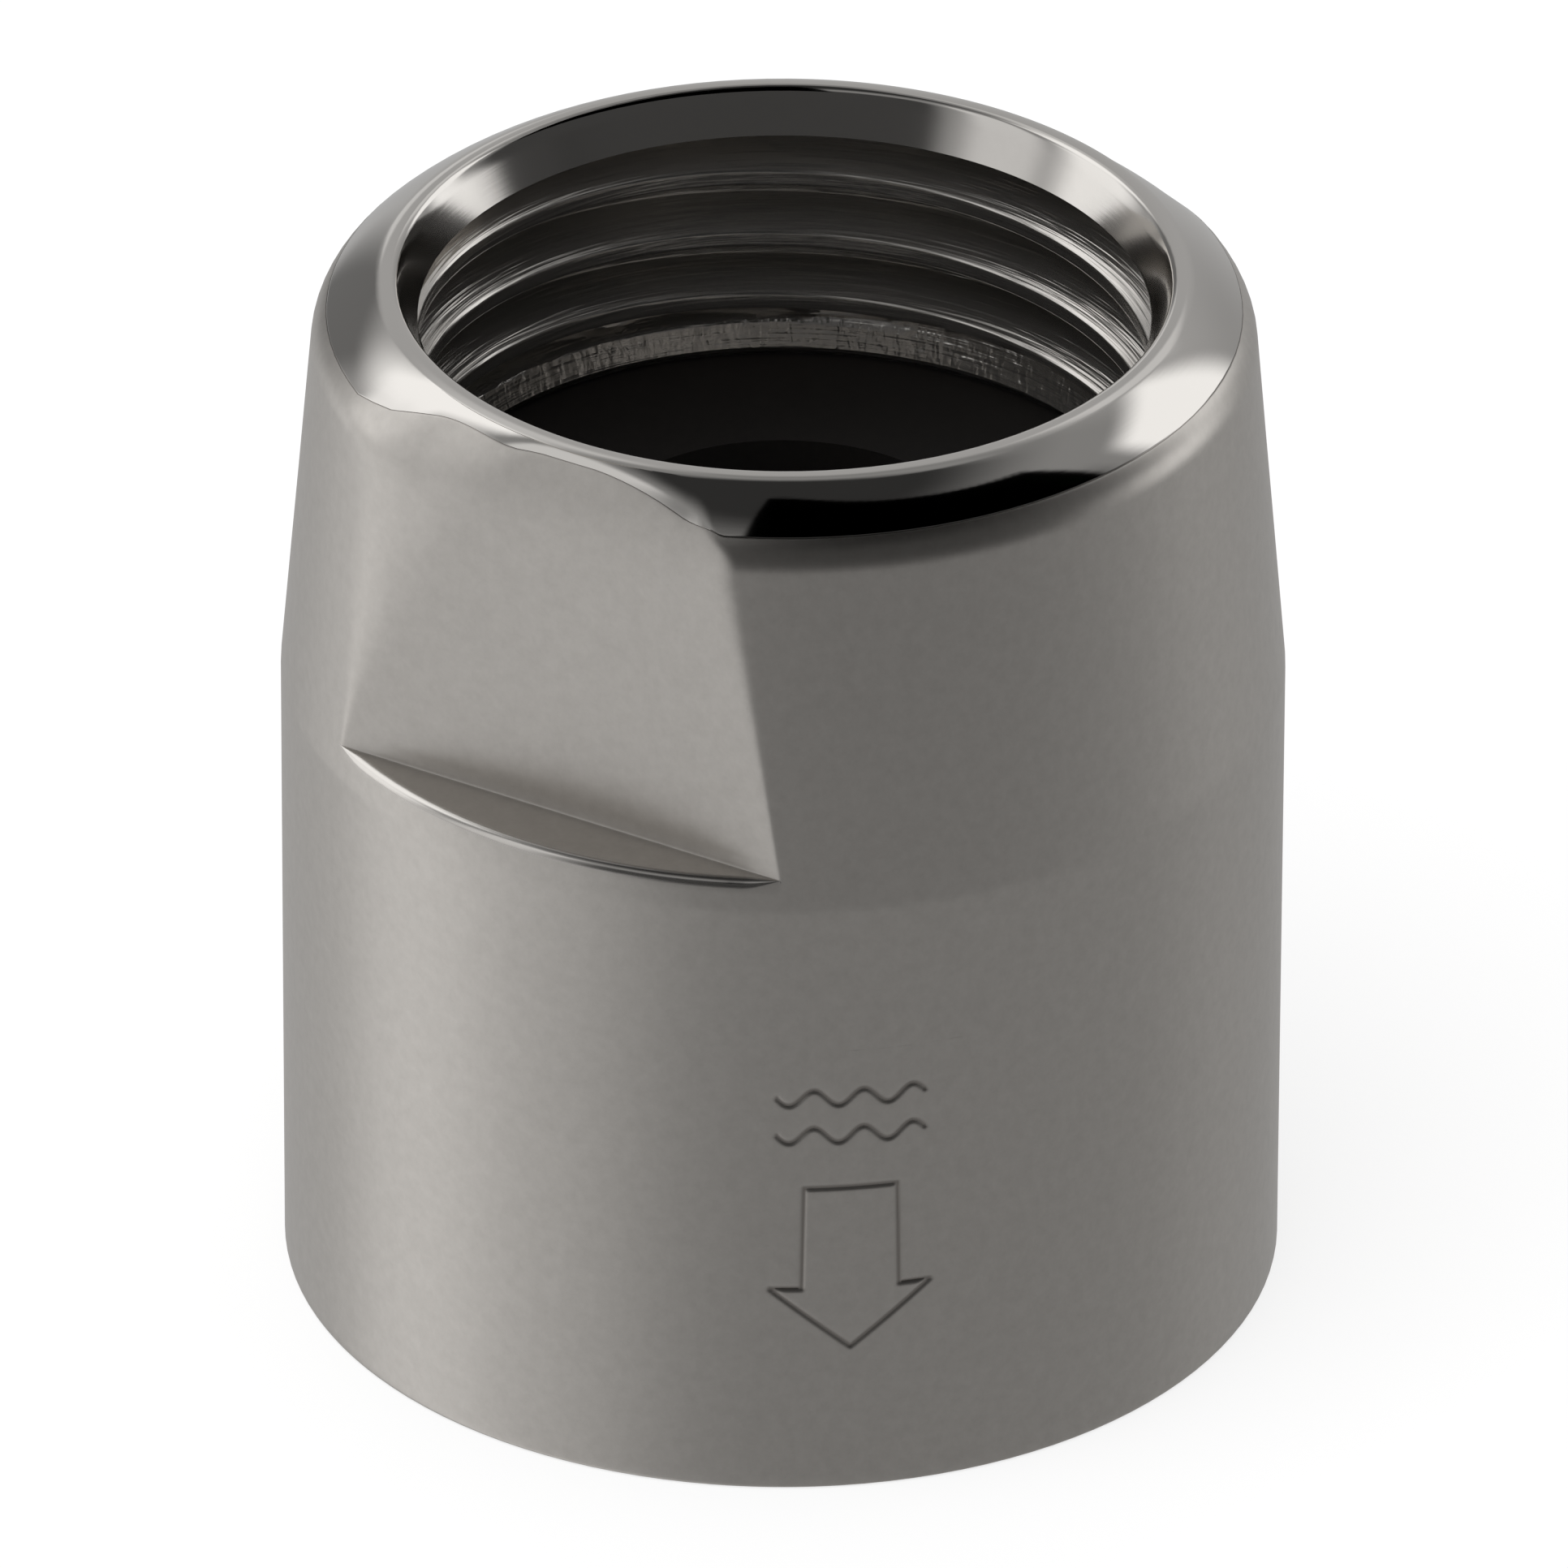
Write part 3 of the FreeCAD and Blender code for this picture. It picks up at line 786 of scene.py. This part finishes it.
def buildSpring(name, tree, wireMaterial):
    holder = meshPiece(name + "_nodes", [(0, 0, 0)], [])
    modifier = holder.modifiers.new("spring", "NODES")
    modifier.node_group = tree
    for socket in tree.interface.items_tree:
        if socket.in_out == "INPUT":
            modifier[socket.identifier] = springs[name].get(socket.name, wireMaterial)
    bpy.context.view_layer.update()
    evaluated = holder.evaluated_get(bpy.context.evaluated_depsgraph_get())
    mesh = bpy.data.meshes.new_from_object(evaluated)
    holder.modifiers.clear()
    bpy.data.objects.remove(holder)
    piece = addObject(name + "_wire", mesh)
    healMesh(piece, springMesh["sharpDegrees"])
    return piece


# Materials
def newMaterial(name):
    material = bpy.data.materials.new(name)
    material.use_nodes = True
    tree = material.node_tree
    tree.nodes.clear()
    return material, tree


def stretchedNoise(tree, place, size, **inputs):
    # Noise whose features have their own size along each axis, millimetres
    scaled = addNode(tree, "ShaderNodeMapping", {
        "Vector": place, "Scale": [1 / (length * mm) for length in size]})
    return addNode(tree, "ShaderNodeTexNoise", {
        "Vector": scaled, "Scale": 1.0, **inputs})


def turningLines(tree, place, step, length=4.0):
    # Fine lines around the axis that follow the radius and the height, step millimetres apart
    parts = addNode(tree, "ShaderNodeSeparateXYZ", {"Vector": place})
    flat = addNode(tree, "ShaderNodeCombineXYZ", {"X": parts.outputs[0], "Y": parts.outputs[1]})
    radius = addNode(tree, "ShaderNodeVectorMath", {0: flat}, operation="LENGTH")
    climb = addNode(tree, "ShaderNodeMath", {
        0: radius.outputs["Value"], 1: parts.outputs[2]}, operation="ADD")
    linePlace = addNode(tree, "ShaderNodeCombineXYZ", {
        "X": parts.outputs[0], "Y": parts.outputs[1], "Z": climb})
    return stretchedNoise(tree, linePlace, (length, length, step), Detail=2.0)


# Sizes in millimetres; a bump is its strength and its height
satin = {
    "mottleSize": 0.35,
    "mottleColours": ("#b4b0ab", "#c9c5c0"),
    # The creaseLine and engraved colours are painted shade: darker tones standing in for shade in the
    # crease and in the engraved grooves
    "coverColours": {"polish": "#c8c5c1", "creaseLine": "#5a5550", "engraved": "#8f8a85"},
    "roughness": (0.36, 0.05),  # brushed, polished
    "grainSize": (1.5, 1.5, 0.07),
    "lineStep": 0.15,
    "rippleSize": (0.22, 0.22, 0.9),
    "bumps": {"grain": (0.1, 0.004), "lines": (0.8, 0.03), "ripple": (0.9, 0.06)},
    "boreMetal": 0.95,
}


def satinChrome():
    # Satin chrome plate on turned brass: soft grey sheen outside, the rim polished to a
    # mirror after brushing, and bright cut metal with fine turning lines in the bore
    material, tree = newMaterial("satinChromePlate")
    place = addNode(tree, "ShaderNodeTexCoord").outputs["Object"]
    masks = {name: addNode(tree, "ShaderNodeAttribute", attribute_name=name).outputs["Fac"]
             for name in maskNames}
    mottle = addNode(tree, "ShaderNodeTexNoise", {
        "Vector": place, "Scale": 1 / (satin["mottleSize"] * mm), "Detail": 4.0, "Roughness": 0.7})

    # Brushed grain outside, turning lines in the bore, and the tool's chatter marks in the
    # run-out under the thread, each bump upon the one before it
    outside = addNode(tree, "ShaderNodeMath", {0: 1.0, 1: masks["bore"]}, operation="SUBTRACT")
    relief = {
        "grain": (stretchedNoise(tree, place, satin["grainSize"], Detail=3.0), outside),
        "lines": (turningLines(tree, place, satin["lineStep"]), masks["bore"]),
        "ripple": (stretchedNoise(tree, place, satin["rippleSize"], Detail=1.0, Distortion=0.6),
                   masks["chatter"]),
    }
    normal = {}
    for name, (height, mask) in relief.items():
        strength, distance = satin["bumps"][name]
        height = addNode(tree, "ShaderNodeMath", {0: height, 1: mask}, operation="MULTIPLY")
        normal["Normal"] = addNode(tree, "ShaderNodeBump", {
            "Height": height, "Strength": strength, "Distance": distance * mm, **normal})

    # Mottled brushed metal, covered by the polish, then by painted shade: a dark line along the polish's
    # edge and darker engraved grooves
    low, high = map(linearColour, satin["mottleColours"])
    colour = addNode(tree, "ShaderNodeMix", {"Factor": mottle, 6: low, 7: high}, data_type="RGBA")
    for name, hexText in satin["coverColours"].items():
        colour = addNode(tree, "ShaderNodeMix", {
            "Factor": masks[name], 6: colour.outputs[2], 7: linearColour(hexText)}, data_type="RGBA")
    rough = addNode(tree, "ShaderNodeMapRange", {
        "Value": masks["polish"], "To Min": satin["roughness"][0], "To Max": satin["roughness"][1]})
    film = addNode(tree, "ShaderNodeMapRange", {
        "Value": masks["bore"], "To Min": 1.0, "To Max": satin["boreMetal"]})
    surface = addNode(tree, "ShaderNodeBsdfPrincipled", {
        "Base Color": colour.outputs[2], "Metallic": film, "Roughness": rough, **normal})
    addNode(tree, "ShaderNodeOutputMaterial", {"Surface": surface})
    return material


def plainMaterial(name, hexLow, hexHigh, roughness, metallic=0.0, grain=0.4, bumpHeight=0.01):
    # Moulded, rubber or drawn stock: two close colours and a fine grain of a size in millimetres
    material, tree = newMaterial(name)
    place = addNode(tree, "ShaderNodeTexCoord").outputs["Object"]
    noise = addNode(tree, "ShaderNodeTexNoise", {
        "Vector": place, "Scale": 1 / (grain * mm), "Detail": 3.0})
    low, high = linearColour(hexLow), linearColour(hexHigh)
    colour = addNode(tree, "ShaderNodeMix", {"Factor": noise, 6: low, 7: high}, data_type="RGBA")
    bump = addNode(tree, "ShaderNodeBump", {
        "Height": noise, "Strength": 0.5, "Distance": bumpHeight * mm})
    surface = addNode(tree, "ShaderNodeBsdfPrincipled", {
        "Base Color": colour.outputs[2], "Metallic": metallic, "Roughness": roughness,
        "Normal": bump})
    addNode(tree, "ShaderNodeOutputMaterial", {"Surface": surface})
    return material


brassLook = {
    "colours": ("#b48d47", "#caa55e"),
    "roughness": (0.2, 0.36),
    "lineStep": 0.12,
    "bump": (0.5, 0.008),
}


def turnedBrass():
    # Machined brass left bare: warm yellow metal with fine turning lines
    material, tree = newMaterial("turnedBrass")
    place = addNode(tree, "ShaderNodeTexCoord").outputs["Object"]
    lines = turningLines(tree, place, brassLook["lineStep"])
    low, high = map(linearColour, brassLook["colours"])
    colour = addNode(tree, "ShaderNodeMix", {"Factor": lines, 6: low, 7: high}, data_type="RGBA")
    rough = addNode(tree, "ShaderNodeMapRange", {
        "Value": lines, "To Min": brassLook["roughness"][0], "To Max": brassLook["roughness"][1]})
    strength, distance = brassLook["bump"]
    bump = addNode(tree, "ShaderNodeBump", {
        "Height": lines, "Strength": strength, "Distance": distance * mm})
    surface = addNode(tree, "ShaderNodeBsdfPrincipled", {
        "Base Color": colour.outputs[2], "Metallic": 1.0, "Roughness": rough, "Normal": bump})
    addNode(tree, "ShaderNodeOutputMaterial", {"Surface": surface})
    return material


finishes = {
    "shell": satinChrome(),
    "washer_rubber": plainMaterial("washerRubber", "#0d0b0a", "#151210", 0.75, grain=0.25),
    "seal_rubber": plainMaterial("sealRubber", "#121110", "#1b1918", 0.5, grain=0.2),
    "housing_plastic": plainMaterial("naturalAcetal", "#e2e0da", "#ebe9e4", 0.45, grain=0.5),
    "poppet_plastic": plainMaterial("darkAcetal", "#2b2b2d", "#343437", 0.42, grain=0.5),
    "spring_steel": plainMaterial("drawnSpringSteel", "#a9a9aa", "#b8b8b9", 0.28, 1.0, grain=0.2),
    "brass": turnedBrass(),
}

# Shell
print("shell")
shellPiece = buildShell()
shellPiece.data.materials.append(finishes["shell"])
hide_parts("body")
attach(shellPiece, "shell")
print("shell triangles", sum(len(p.vertices) - 2 for p in shellPiece.data.polygons))

# Outlet thread
print("outlet thread")
socketPiece = buildOutletSocket()
socketPiece.data.materials.clear()
socketPiece.data.materials.append(finishes["brass"])
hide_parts("outlet_socket")
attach(socketPiece, "shell")

# Springs
print("springs")
springTree = springNodes()
for name, (joint, keep) in springMoves.items():
    spring = buildSpring(name, springTree, finishes["spring_steel"])
    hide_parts(name)
    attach(spring, "shell")
    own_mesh(spring)

# Materials of the pieces that keep their solids
for row in frame["record"]["subparts"]:
    if row["node"] in ("body", "outlet_socket", *springs):
        continue
    node = frame["nodes"][row["node"]]
    node.data.materials.clear()
    node.data.materials.append(finishes[row["material_slot"]])

# Studio
cameraSetup = {
    "azimuth": 30.8,
    "elevation": 30.56,
    "distance": 691.7,
    "sideShift": 0.035,
    "targetHeight": 13.30,
    "roll": -0.216,
    "lens": 619.03,
    "sensor": 36.0,
}


def directionTo(azimuth, elevation):
    # Azimuth 0 is the side of the front wrench flat, growing towards +X
    a, e = math.radians(azimuth), math.radians(elevation)
    return Vector((math.sin(a) * math.cos(e), -math.cos(a) * math.cos(e), math.sin(e)))


def placeCamera():
    back = directionTo(cameraSetup["azimuth"], cameraSetup["elevation"])
    right = Vector((0, 0, 1)).cross(back).normalized()
    up = back.cross(right)
    roll = math.radians(cameraSetup["roll"])
    axisX = right * math.cos(roll) - up * math.sin(roll)
    axisY = right * math.sin(roll) + up * math.cos(roll)
    target = right * cameraSetup["sideShift"] + Vector((0, 0, cameraSetup["targetHeight"]))
    place = (target + back * cameraSetup["distance"]) * mm
    data = bpy.data.cameras.new("photoCamera")
    data.lens = cameraSetup["lens"]
    data.sensor_width = cameraSetup["sensor"]
    camera = addObject("photoCamera", data)
    camera.matrix_world = Matrix((
        (axisX.x, axisY.x, back.x, place.x),
        (axisX.y, axisY.y, back.y, place.y),
        (axisX.z, axisY.z, back.z, place.z),
        (0, 0, 0, 1)))
    bpy.context.scene.camera = camera


# Light tent that only reflections see. Azimuths are from the camera, to its right, and
# each soft panel has a centre, half sizes, soft edges and a brightness, in degrees
tent = {"radius": 1500.0, "level": 0.34, "columns": 360, "rows": 180}
panels = {
    "backFloor": {"at": (180, -45), "half": (62, 60), "soft": 40, "level": 0.50},
    "backWall": {"at": (180, 25), "half": (50, 36), "soft": 26, "level": 0.54},
    "leftSpill": {"at": (-66, -45), "half": (30, 60), "soft": 44, "level": 0.66},
    "rightFloor": {"at": (132, -40), "half": (26, 60), "soft": 26, "level": 0.42},
    "leftFront": {"at": (-68, 30), "half": (12, 22), "soft": 10, "level": 0.88},
    "frontDark": {"at": (25, 26), "half": (72, 18), "soft": 10, "level": 0.07},
    "frontLow": {"at": (20, 3), "half": (50, 14), "soft": 10, "level": 0.05},
    "ceiling": {"at": (0, 90), "half": (360, 27), "soft": 22, "level": 0.04},
    "backCeiling": {"at": (180, 68), "half": (66, 8), "soft": 14, "level": 0.34},
    "leftHigh": {"at": (-148, 52), "half": (20, 9), "soft": 14, "level": 0.80},
    "leftGap": {"at": (-146, 8), "half": (14, 16), "soft": 12, "level": 0.20},
    "leftPanel": {"at": (-94, -45), "half": (20, 40), "soft": 26, "level": 1.03},
    "leftTaper": {"at": (-122, -15), "half": (9, 9), "soft": 12, "level": 1.05},
    "leftSoftbox": {"at": (-117, 41), "half": (20, 15), "soft": 16, "level": 1.50},
    "leftLower": {"at": (-103, 15), "half": (15, 16), "soft": 14, "level": 1.38},
    "rightLower": {"at": (105, -1), "half": (14, 11), "soft": 8, "level": 1.45},
    "rightSoftbox": {"at": (121, 25), "half": (14, 17), "soft": 8, "level": 1.45},
    "rightHigh": {"at": (152, 41), "half": (11, 10), "soft": 8, "level": 0.85},
    "backStrip": {"at": (-169, 18), "half": (6, 5), "soft": 5, "level": 0.85},
}
# Cuts a black shape out of the tent, its top edge bowed down to both sides
blackFlag = {"left": -14.0, "right": 96.0, "low": 36.0, "high": 83.0, "slope": 0.0027, "soft": 1.5}


def coverBetween(low, high, soft, value):
    # 1 between two limits, falling to 0 over a soft edge at each
    risen = smoothStep(low - soft / 2, low + soft / 2, value)
    return risen * (1 - smoothStep(high - soft / 2, high + soft / 2, value))


def tentBrightness(azimuth, elevation):
    value = np.full(azimuth.shape, tent["level"])
    for panel in panels.values():
        aside = np.abs((azimuth - panel["at"][0] + 180) % 360 - 180)
        above = np.abs(elevation - panel["at"][1])
        cover = coverBetween(-360, panel["half"][0], panel["soft"], aside)
        cover = cover * coverBetween(-360, panel["half"][1], panel["soft"], above)
        value = value * (1 - cover) + panel["level"] * cover
    flagTop = blackFlag["high"] - blackFlag["slope"] * azimuth ** 2
    flag = coverBetween(blackFlag["left"], blackFlag["right"], blackFlag["soft"], azimuth)
    return value * (1 - flag * coverBetween(blackFlag["low"], flagTop, blackFlag["soft"], elevation))


def buildTent():
    columns, rowCount = tent["columns"], tent["rows"]
    azimuth = np.linspace(-180, 180, columns, endpoint=False)
    elevation = np.linspace(-90, 90, rowCount + 1)
    wideAzimuth, wideElevation = np.meshgrid(azimuth, elevation)
    a = np.radians(wideAzimuth + cameraSetup["azimuth"])
    e = np.radians(wideElevation)
    points = tent["radius"] * np.stack([np.sin(a) * np.cos(e), -np.cos(a) * np.cos(e), np.sin(e)], 2)
    piece = meshPiece("lightTent", points.reshape(-1, 3), ringFaces(rowCount + 1, columns))
    glow = piece.data.attributes.new("glow", "FLOAT", "POINT")
    glow.data.foreach_set("value", tentBrightness(wideAzimuth, wideElevation).ravel().astype(np.float32))
    material, tree = newMaterial("tentCloth")
    level = addNode(tree, "ShaderNodeAttribute", attribute_name="glow").outputs["Fac"]
    surface = addNode(tree, "ShaderNodeEmission", {"Strength": level})
    addNode(tree, "ShaderNodeOutputMaterial", {"Surface": surface})
    material.cycles.emission_sampling = "NONE"
    piece.data.materials.append(material)
    piece.visible_camera = False
    piece.visible_diffuse = False
    piece.visible_shadow = False
    piece.visible_transmission = False


# Brightness of the world as light and as it is seen, and the paper floor in millimetres
backdrop = {"fill": 0.7, "seen": 1.0, "floorReach": 1400.0, "paper": 0.3, "paperGlow": 0.74}
topLamp = {"azimuth": -40, "elevation": 65, "distance": 900, "size": 700, "power": 3.2}


def buildWorld():
    world = bpy.data.worlds.new("paleStudio")
    world.use_nodes = True
    tree = world.node_tree
    tree.nodes.clear()
    path = addNode(tree, "ShaderNodeLightPath")
    seen = addNode(tree, "ShaderNodeMath", {
        0: path.outputs["Is Camera Ray"], 1: path.outputs["Is Glossy Ray"]}, operation="MAXIMUM")
    seen = addNode(tree, "ShaderNodeMath", {
        0: seen, 1: path.outputs["Is Transmission Ray"]}, operation="MAXIMUM")
    fill, white = [addNode(tree, "ShaderNodeBackground", {
        "Color": (1, 1, 1, 1), "Strength": backdrop[name]}) for name in ("fill", "seen")]
    mixed = addNode(tree, "ShaderNodeMixShader", {
        0: seen, 1: fill, 2: white})
    addNode(tree, "ShaderNodeOutputWorld", {"Surface": mixed})
    bpy.context.scene.world = world


def buildFloor():
    reach = backdrop["floorReach"]
    corners = [(-reach, -reach, 0), (reach, -reach, 0), (reach, reach, 0), (-reach, reach, 0)]
    floor = meshPiece("paleFloor", corners, [(0, 1, 2, 3)])
    material, tree = newMaterial("palePaper")
    path = addNode(tree, "ShaderNodeLightPath")
    paper = addNode(tree, "ShaderNodeBsdfDiffuse", {"Color": [backdrop["paper"]] * 3 + [1]})
    glow = addNode(tree, "ShaderNodeMath", {
        0: path.outputs["Is Camera Ray"], 1: backdrop["paperGlow"]}, operation="MULTIPLY")
    light = addNode(tree, "ShaderNodeEmission", {"Color": (1, 1, 1, 1), "Strength": glow})
    dim = addNode(tree, "ShaderNodeAddShader", {0: paper, 1: light})
    addNode(tree, "ShaderNodeOutputMaterial", {"Surface": dim})
    floor.data.materials.append(material)
    floor.visible_glossy = False


def addLamp(name, azimuth, elevation, distance, size, power):
    data = bpy.data.lights.new(name, "AREA")
    data.shape = "DISK"
    data.size = size * mm
    data.energy = power
    lamp = addObject(name, data)
    lamp.location = directionTo(azimuth + cameraSetup["azimuth"], elevation) * distance * mm
    lamp.rotation_euler = lamp.location.to_track_quat("Z", "Y").to_euler()
    lamp.visible_glossy = False


print("studio")
placeCamera()
buildWorld()
buildTent()
buildFloor()
addLamp("topLamp", **topLamp)

scene = bpy.context.scene
scene.view_settings.view_transform = "Standard"
